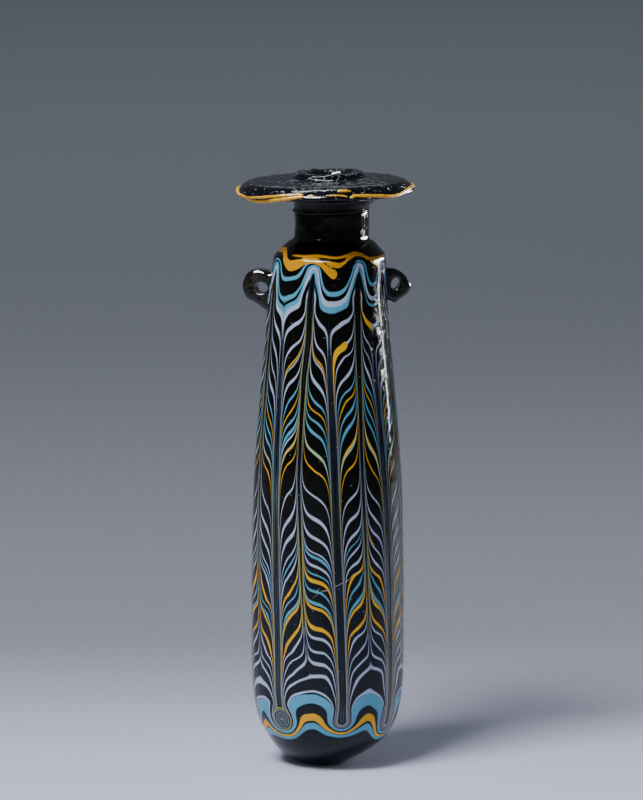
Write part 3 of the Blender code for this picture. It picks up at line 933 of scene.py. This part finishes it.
# %% Add the bubbles, the crack and the chip
bubbles = combed.step(combed.speckle(1500.0, 0.0), 0.81, 0.86, 0.0, 0.3)
colour = combed.blend(bubbles, colour, BUBBLE)
jagged = combed.minus(combed.speckle(500.0, 2.0), 0.5)
crack_side = combed.sum("MULTIPLY_ADD", jagged, 0.9, combed.stored("crack_side"))
crack_off = combed.sum("ABSOLUTE", crack_side)
crack_along = combed.stored("crack_along")
crack_end = combed.step(crack_along, 12.0, 12.8, 1.0, 0.0)
crack_long = combed.times(combed.step(crack_along, 0.0, 0.5), crack_end)
broken = combed.times(crack_long, combed.step(combed.speckle(420.0, 2.0), 0.40, 0.52))
crack = combed.times(combed.step(crack_off, 0.05, 0.15, 1.0, 0.0), broken)
crack = combed.times(crack, combed.stored("outer"))
colour = combed.blend(combed.times(crack, 0.7), colour, CRACK_EDGE)
chip_away = combed.sum("MULTIPLY_ADD", combed.speckle(900.0, 2.0), 0.9, combed.stored("chip_away"))
chip_ring = combed.step(combed.off(chip_away, 0.95), 0.06, 0.2, 0.8, 0.0)
chip_ring = combed.times(chip_ring, combed.step(combed.speckle(650.0, 1.0), 0.42, 0.55))
colour = combed.blend(combed.step(chip_away, 0.8, 0.95, 1.0, 0.0), colour, BLUE_BLACK_AND_PAINTED_REFLECTION)
colour = combed.blend(chip_ring, colour, CHIP_EDGE)
colour = combed.blend(combed.stored("outer"), DARK_ABOVE, colour)
print(len(combed.tree.nodes), "nodes with the damage")

# %% [markdown]
# The surface ripples a little, more on the neck, so the lamps' streaks are broken up. Very small pits and
# the chip's hollow are relief too.

# %% Give the wall its gloss and relief
matt = combed.step(combed.speckle(900.0, 3.0), 0.35, 0.75, 0.05, 0.16)
wavier_neck = combed.step(combed.place_height(), 0.1310, 0.1335, 1.0, 2.6)
ripple = combed.bump(combed.times(combed.speckle(170.0, 1.0), wavier_neck), 0.00020)
pits = combed.bump(combed.step(combed.speckle(1400.0, 2.0), 0.62, 0.75, 1.0, 0.0), 0.000015, ripple)
cut = combed.sum("MULTIPLY_ADD", crack, -0.3, 1.0)
dent = combed.sum("MINIMUM", combed.step(chip_away, 0.6, 1.1), cut)
combed.finish(colour, matt, combed.bump(dent, 0.00035, pits), WORN_SHEEN, GLASS_IOR)
wall_mesh.materials.append(combed.material)
wall_mesh.shade_smooth()
wall = put_in_scene("bottle_wall", wall_mesh)
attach(wall, "root")
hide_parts("bottle")
print(len(combed.tree.nodes), "nodes in the combed glass")

# %% [markdown]
# The rim disc was trailed on as a thick pad and flattened. Its top is gently domed, pitted and uneven,
# with a raised lip round the narrow mouth, and it sits on the neck by a short collar that ends in a
# ragged ring where the two were joined. Its section is turned like the wall's.


# %% Turn the rim disc
def weld(mesh, dist):
    """Joins points that lie together and turns every face outward."""
    shape = bmesh.new()
    shape.from_mesh(mesh)
    bmesh.ops.remove_doubles(shape, verts=shape.verts, dist=dist)
    bmesh.ops.recalc_face_normals(shape, faces=shape.faces)
    shape.to_mesh(mesh)
    shape.free()


RIM_SECTION = ((4.6, SEAM), (4.6, 144.0), (4.7, 148.0), (5.1, 149.4), (6.0, 150.1), (7.3, 150.3),
               (8.5, 149.95), (9.3, 149.1), (10.6, 148.75), (16.0, 148.45), (18.4, 148.25),
               (19.8, 147.95), (20.7, 147.4), (21.4, 146.75), (21.95, 146.05), (22.0, 145.5),
               (21.4, 145.0), (19.5, 144.7), (15.0, 144.35), (11.0, 144.05), (9.75, 143.5),
               (9.4, 142.4), (9.33, 141.4), (9.33, 140.9), (9.33, 140.5), (9.3, SEAM))
RIM_COLUMNS = 260
RIM_ROWS = 150
RIGHT_FULLNESS = 1.5
LEDGE, LEDGE_DEGREES = 0.7, -97
RAGGED = 0.22

section = even_rows(smooth_line(RIM_SECTION, 10), RIM_ROWS)
section = np.vstack([section, section[:1]])
x, y, z, rim_degrees = turn_rows(section, RIM_COLUMNS)
places = np.stack([x, y, z], axis=-1)
on_top = ease(148.0, 148.6, z) * ease(9.0, 11.0, np.hypot(x, y))
on_lip = ease(149.0, 149.8, z)
rough = 0.20 * uneven(places, 0.35, 1.0) + 0.12 * uneven(places, 0.9, 5.0)
lift = rough * (0.3 + 0.7 * on_top) + 0.28 * on_lip * uneven(places, 0.45, 8.0)
outer_side = ease(9.0, 9.3, np.hypot(x, y)) * (1 - ease(143.6, 144.4, z))
right_full = RIGHT_FULLNESS * np.clip(x / 10, 0, 1) ** 2 * ease(140.8, 142.8, z)
at_left = np.exp(-((rim_degrees[None] - LEDGE_DEGREES) / 16) ** 2)
left_ledge = LEDGE * at_left * np.exp(-((z - 140.9) / 0.45) ** 2)
ragged = RAGGED * np.maximum(uneven(places, 0.8, 4.0), 0) * np.exp(-((z - 140.8) / 0.35) ** 2)
spread = 1 + outer_side * (right_full + left_ledge + ragged + 0.05 * uneven(places, 0.3, 2.0)) / 10
points = out_of_true(x * spread, y * spread, z + lift * ease(141.0, 144.0, z)) * MM
rim_mesh = bpy.data.meshes.new("rim_top")
rim_mesh.from_pydata(points.reshape(-1, 3).tolist(), [], grid_faces(len(section), RIM_COLUMNS).tolist())
weld(rim_mesh, 0.002 * MM)
rim_mesh.shade_smooth()
rim = put_in_scene("rim_top", rim_mesh)
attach(rim, "root")
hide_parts("rim_disc")
print("rim", len(rim_mesh.polygons), "faces")

# %% [markdown]
# The rim's glass is dark blue-black. Years in the ground left it lightly pitted, so it glitters, and the
# pits go into the material as small relief, with rougher spots round them. The collar is black and
# smooth, like the neck.

# %% Make the rim's glass
RIM_BLACK = (0.0012, 0.0016, 0.0032, 1.0)
RIM_BLUE = (0.0030, 0.0046, 0.0115, 1.0)
COLLAR_BLACK = (0.0018, 0.0016, 0.0010, 1.0)
pitted = Bench("pitted_dark_glass")
patch = pitted.step(pitted.speckle(130.0, 3.0), 0.35, 0.7)
above_collar = pitted.step(pitted.place_height(), 0.1442, 0.1452)
blue_black = pitted.blend(patch, RIM_BLACK, RIM_BLUE)
rim_colour = pitted.blend(above_collar, COLLAR_BLACK, blue_black)
matt = pitted.step(pitted.speckle(600.0, 3.0), 0.4, 0.75, 0.05, 0.22)
dents = pitted.bump(pitted.times(pitted.speckle(330.0, 2.0), above_collar), 0.00018)
hollows = pitted.step(pitted.speckle(950.0, 2.0), 0.6, 0.72, 1.0, 0.0)
hollows = pitted.times(hollows, above_collar)
pitted.finish(rim_colour, matt, pitted.bump(hollows, 0.00016, dents), WORN_SHEEN, GLASS_IOR)
rim_mesh.materials.append(pitted.material)
print("pitted glass ready")

# %% [markdown]
# A yellow thread was wound round the disc's edge, twice at the left, and bits of it have broken away at
# the front. Each length is a soft round bead pressed into the edge, thicker here and thinner there. It
# is drawn as a tube along points given in degrees round the disc, height and half thickness in mm.

# %% Wind the yellow thread round the rim
EDGE_THREADS = (
    ((-97, 146.55, 0.45), (-89, 146.15, 0.55), (-83, 145.25, 0.6), (-78, 144.55, 0.45)),
    ((-78, 145.6, 0.3), (-65, 145.1, 0.38), (-55, 145.45, 0.36), (-45, 145.8, 0.36), (-30, 146.4, 0.34),
     (-14, 146.85, 0.3)),
    ((-72, 144.55, 0.35), (-65, 144.55, 0.5), (-55, 144.55, 0.55), (-45, 144.85, 0.52),
     (-30, 145.55, 0.45), (-14, 146.4, 0.36)),
    ((-12.3, 146.45, 0.2), (-9.5, 146.5, 0.28), (-7.2, 146.45, 0.15)),
    ((0, 146.55, 0.12), (4, 146.55, 0.2), (10.7, 146.45, 0.22), (14, 146.15, 0.2)),
    ((15.0, 145.85, 0.2), (17, 146.05, 0.36), (20.6, 146.3, 0.4), (33.6, 145.95, 0.42),
     (50, 145.45, 0.42), (63, 146.05, 0.4), (75, 146.4, 0.42), (89, 146.35, 0.42), (110, 146.05, 0.4),
     (150, 145.85, 0.4), (190, 146.15, 0.42), (230, 145.95, 0.4), (262, 146.25, 0.42)),
    ((8.0, 147.4, 0.2), (10.5, 147.45, 0.42), (14.5, 147.4, 0.45), (17.6, 147.35, 0.2)),
    ((140, 144.85, 0.1), (160, 144.75, 0.35), (200, 144.95, 0.38), (250, 145.25, 0.38),
     (285, 144.65, 0.4)),
)
EDGE_MIDDLE = 146.2
TUBE_SIDES = 10


def edge_place(turned, height):
    """A place on the disc's edge, and the direction out of it, in mm."""
    outer = section[(section[:, 0] > 20.8) & (section[:, 1] > 144.9)][::-1]
    radius = np.interp(height, outer[:, 1], outer[:, 0])
    out = np.array([radius - 20.6, (height - EDGE_MIDDLE)])
    out /= np.linalg.norm(out)
    a = math.radians(turned)
    spot = np.array([radius * math.sin(a), -radius * math.cos(a), height])
    return spot, np.array([out[0] * math.sin(a), -out[0] * math.cos(a), out[1]])


def lay_thread(line, vertices, faces):
    """Adds a tube with round ends along a line of (degrees, height, half thickness)."""
    path = smooth_line(line, 14)
    spots, outs = np.array([edge_place(d, h) for d, h, thick in path]).swapaxes(0, 1)
    along = np.gradient(spots, axis=0)
    along /= np.linalg.norm(along, axis=1)[:, None]
    side = np.cross(along, outs)
    side /= np.linalg.norm(side, axis=1)[:, None]
    count = len(path)
    share = np.arange(count) / (count - 1)
    ends = np.sqrt(np.clip(1 - (2 * np.abs(share - 0.5)) ** 24, 0.0, 1.0))
    start = len(vertices)
    for spot, out, across, thick, end in zip(spots, outs, side, path[:, 2], ends):
        wobble = 1 + 0.16 * noise.noise(Vector(spot) * 0.8)
        thick = max(thick * end * wobble, 0.02)
        for step in range(TUBE_SIDES):
            a = 2 * math.pi * step / TUBE_SIDES
            raised = out * thick * (0.25 + 0.85 * math.cos(a))
            vertices.append(spot + raised + across * thick * math.sin(a))
    for ring in range(count - 1):
        for step in range(TUBE_SIDES):
            here = start + ring * TUBE_SIDES + step
            there = start + ring * TUBE_SIDES + (step + 1) % TUBE_SIDES
            faces.append((here, there, there + TUBE_SIDES, here + TUBE_SIDES))
    faces.append(tuple(start + step for step in reversed(range(TUBE_SIDES))))
    faces.append(tuple(start + (count - 1) * TUBE_SIDES + step for step in range(TUBE_SIDES)))


tube_points, tube_faces = [], []
for line in EDGE_THREADS:
    lay_thread(line, tube_points, tube_faces)
tube_points = np.array(tube_points)
tube_points = out_of_true(*tube_points.T) * MM
thread_mesh = bpy.data.meshes.new("edge_threads")
thread_mesh.from_pydata(tube_points.tolist(), [], tube_faces)
thread_mesh.shade_smooth()
print("edge threads", len(tube_faces), "faces")

# %% [markdown]
# The thread's glass is opaque and a little dull, deeper yellow in some places than in others.

# %% Make the thread's yellow glass
THREAD_BRIGHT = (0.80, 0.43, 0.006, 1.0)
THREAD_DEEP = (0.68, 0.30, 0.004, 1.0)
opaque = Bench("yellow_glass")
shade = opaque.step(opaque.speckle(700.0, 3.0), 0.3, 0.75)
thread_colour = opaque.blend(shade, THREAD_BRIGHT, THREAD_DEEP)
matt = opaque.step(opaque.speckle(900.0, 2.0), 0.35, 0.7, 0.15, 0.35)
opaque.finish(thread_colour, matt, opaque.bump(opaque.speckle(900.0, 3.0), 0.0001))
thread_mesh.materials.append(opaque.material)
edge_threads = put_in_scene("edge_threads", thread_mesh)
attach(edge_threads, "root")
print("yellow glass ready")

# %% [markdown]
# Each handle is a drop of hot glass pressed on the shoulder, drawn out and folded back into a ring for a
# cord. It starts as a flat outline with thickness, with the hole cut through. Then it is made again as
# small even cells and smoothed, which melts its edges round as fire does. Its root goes a little way
# into the wall, where the real ones are fused on.

# %% Press on the handles
LEFT_RING = ((0.0, 0.33), (0.3, 0.39), (0.64, 0.375), (0.88, 0.25), (1.0, 0.04), (0.97, -0.17),
             (0.8, -0.33), (0.47, -0.44), (0.12, -0.6), (-0.1, -0.63))
RIGHT_RING = ((0.0, 0.44), (0.36, 0.42), (0.7, 0.27), (0.93, 0.06), (1.0, -0.05), (0.93, -0.22),
              (0.72, -0.37), (0.5, -0.46), (0.36, -0.54), (0.14, -0.49), (-0.1, -0.42))
ROOT = 1.3
ROUNDING = 1.2
CELL = 0.22


def with_changes(thing):
    """The object's mesh as its settings and modifiers leave it."""
    bpy.context.view_layer.update()
    state = bpy.context.evaluated_depsgraph_get()
    return bpy.data.meshes.new_from_object(thing.evaluated_get(state))


def ring_blank(name, ring, reach, tall, wide_across):
    """The ring's outline with thickness and round edges, before the hole is cut."""
    flat = bpy.data.curves.new(name, "CURVE")
    flat.dimensions = "2D"
    flat.fill_mode = "BOTH"
    flat.bevel_depth, flat.bevel_resolution, flat.offset = ROUNDING, 4, -ROUNDING
    flat.extrude = wide_across / 2 - ROUNDING
    line = smooth_line([(out * reach, up * tall) for out, up in ring], 6)
    line = np.vstack([line, [(-ROOT, line[-1][1]), (-ROOT, line[0][1])]])
    spline = flat.splines.new("POLY")
    spline.points.add(len(line) - 1)
    for point, (out, up) in zip(spline.points, line):
        point.co = (out, up, 0.0, 1.0)
    spline.use_cyclic_u = True
    blank = put_in_scene(name, flat)
    mesh = with_changes(blank)
    bpy.data.objects.remove(blank)
    weld(mesh, 0.001)
    return mesh


def hole_drill(name, hole, wide_across):
    """An oval rod: half its width and height, how far out and up its middle is, and how it leans."""
    side, up, out, lift, lean = hole
    drill_mesh = bpy.data.meshes.new(name)
    shape = bmesh.new()
    bmesh.ops.create_cone(shape, cap_ends=True, segments=32, radius1=1.0, radius2=1.0,
                          depth=3 * wide_across)
    shape.transform(Matrix.Translation((out, lift, 0)) @ Matrix.Rotation(math.radians(lean), 4, "Z")
                    @ Matrix.Diagonal((side, up, 1, 1)))
    shape.to_mesh(drill_mesh)
    shape.free()
    return put_in_scene(name, drill_mesh)


def press_handle(name, node, ring, reach, tall, wide_across, drop, angle, hole):
    """Makes one ring handle, with sizes in mm and angles in degrees."""
    mesh = ring_blank(name, ring, reach, tall, wide_across)
    drill = hole_drill(name + "_drill", hole, wide_across)
    handle = put_in_scene(name, mesh)
    cut = handle.modifiers.new("Cut", "BOOLEAN")
    cut.operation, cut.object = "DIFFERENCE", drill
    cells = handle.modifiers.new("Cells", "REMESH")
    cells.mode, cells.voxel_size = "VOXEL", CELL
    melt = handle.modifiers.new("Melt", "SMOOTH")
    melt.factor, melt.iterations = 0.5, 5
    melted = with_changes(handle)
    bpy.data.objects.remove(handle)
    bpy.data.objects.remove(drill)
    a = math.radians(angle)
    outward, upward = Vector((math.cos(a), math.sin(a), 0)), Vector((0, 0, 1))
    level_height = SHOULDER[1] - drop
    radius = float(wall_radius(level_height))
    origin = Vector(out_of_true(radius * outward.x, radius * outward.y, level_height))
    turned = Matrix((outward, upward, outward.cross(upward))).transposed().to_4x4()
    place = Matrix.Translation(origin) @ turned
    for vertex in melted.vertices:
        lump = 0.16 * noise.noise(vertex.co * 0.45) + 0.05 * noise.noise(vertex.co * 1.1)
        vertex.co = place @ (vertex.co + vertex.normal * lump) * MM
    melted.name = name
    melted.shade_smooth()
    made = put_in_scene(name, melted)
    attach(made, "root")
    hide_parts(node)
    print(name, len(melted.polygons), "faces")
    return made


left = press_handle("ring_left", "handle_left", LEFT_RING, reach=7.1, tall=10.5, wide_across=4.6,
                    drop=6.4, angle=165, hole=(1.85, 1.5, 2.2, -0.5, 0))
right = press_handle("ring_right", "handle_right", RIGHT_RING, reach=6.15, tall=8.9, wide_across=4.2,
                     drop=5.6, angle=6, hole=(1.1, 1.55, 2.15, 0.1, -18))

# %% [markdown]
# The handles' glass is dark too, but olive-brown where it is thin, round the hole. The material lets
# the olive through in soft patches, with a little blue, and stays very glossy.

# %% Make the handles' glass
HANDLE_DARK = (0.0025, 0.0030, 0.0045, 1.0)
HANDLE_OLIVE = (0.026, 0.020, 0.006, 1.0)
olive = Bench("olive_dark_glass")
thin = olive.step(olive.speckle(330.0, 2.0), 0.42, 0.7)
handle_colour = olive.blend(thin, HANDLE_DARK, HANDLE_OLIVE)
matt = olive.step(olive.speckle(800.0, 2.0), 0.4, 0.75, 0.03, 0.12)
olive.finish(handle_colour, matt, olive.bump(olive.speckle(500.0, 2.0), 0.00014), ior=GLASS_IOR)
left.data.materials.append(olive.material)
right.data.materials.append(olive.material)
print("olive glass ready")
